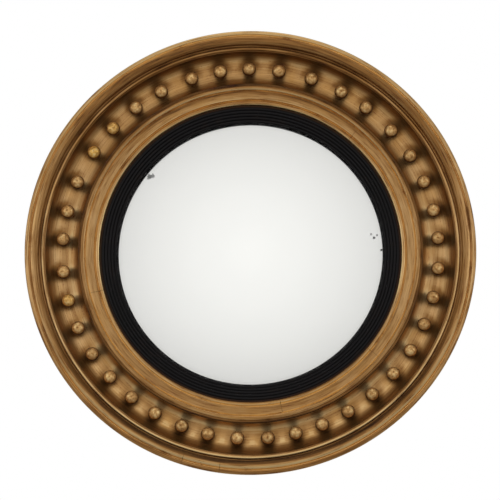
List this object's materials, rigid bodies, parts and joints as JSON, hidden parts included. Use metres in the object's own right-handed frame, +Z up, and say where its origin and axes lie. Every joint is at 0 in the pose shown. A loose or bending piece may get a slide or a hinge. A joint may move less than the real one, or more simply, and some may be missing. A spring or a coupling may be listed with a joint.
{
  "type": "convex butler's mirror",
  "caption": "Round convex wall mirror in a deep gilded frame with a ring of balls in its cove, a black reeded slip, a silvered plate, a backboard and two swinging hanging rings.",
  "frame": {"origin": "on the wall face of the frame's foot, at the axis of the round frame", "axes": "+Y into the wall, along the axis of the round frame; +Z up as hung; +X to the right for someone who looks at the mirror"},
  "size_m": [0.4999, 0.049, 0.5],
  "materials": {
    "gilding": "water-gilded gesso on wood, soft metallic sheen, rubbed and toned",
    "ebonised_wood": "black polished, satin",
    "plate_glass": "clear polished",
    "silver": "silvered, a little worn at the edge",
    "bare_pine": "bare turned softwood, darkened by age",
    "backboard_pine": "bare planed softwood",
    "steel": "dull",
    "brass_plate": "dull, handled"
  },
  "bodies": {
    "frame": {"back_felloe_1": "bare_pine", "back_felloe_2": "bare_pine", "back_felloe_3": "bare_pine", "back_felloe_4": "bare_pine", "back_felloe_5": "bare_pine", "back_felloe_6": "bare_pine", "back_felloe_7": "bare_pine", "back_felloe_8": "bare_pine", "outer_moulding": "gilding", "inner_moulding": "gilding", "gilt_balls": "gilding", "reeded_slip": "ebonised_wood", "convex_plate": "plate_glass", "silvering": "silver", "plate_packers": "bare_pine", "backboard_plank_lower": "backboard_pine", "backboard_plank_middle": "backboard_pine", "backboard_plank_upper": "backboard_pine", "backboard_screws": "steel", "slip_brads": "steel", "hanger_screws": "steel", "hanger_strap_left": "brass_plate", "hanger_strap_right": "brass_plate"},
    "left_ring": {"hanging_ring_left": "brass_plate"},
    "right_ring": {"hanging_ring_right": "brass_plate"}
  },
  "joints": [
    {"name": "left_ring_hinge", "type": "hinge", "parent": "frame", "child": "left_ring", "pos_m": [-0.17085, -0.00415, 0.09084], "axis": [1, 0, 0], "range_deg": [0, 183]},
    {"name": "right_ring_hinge", "type": "hinge", "parent": "frame", "child": "right_ring", "pos_m": [0.17085, -0.00415, 0.09084], "axis": [1, 0, 0], "range_deg": [0, 183]}
  ]
}
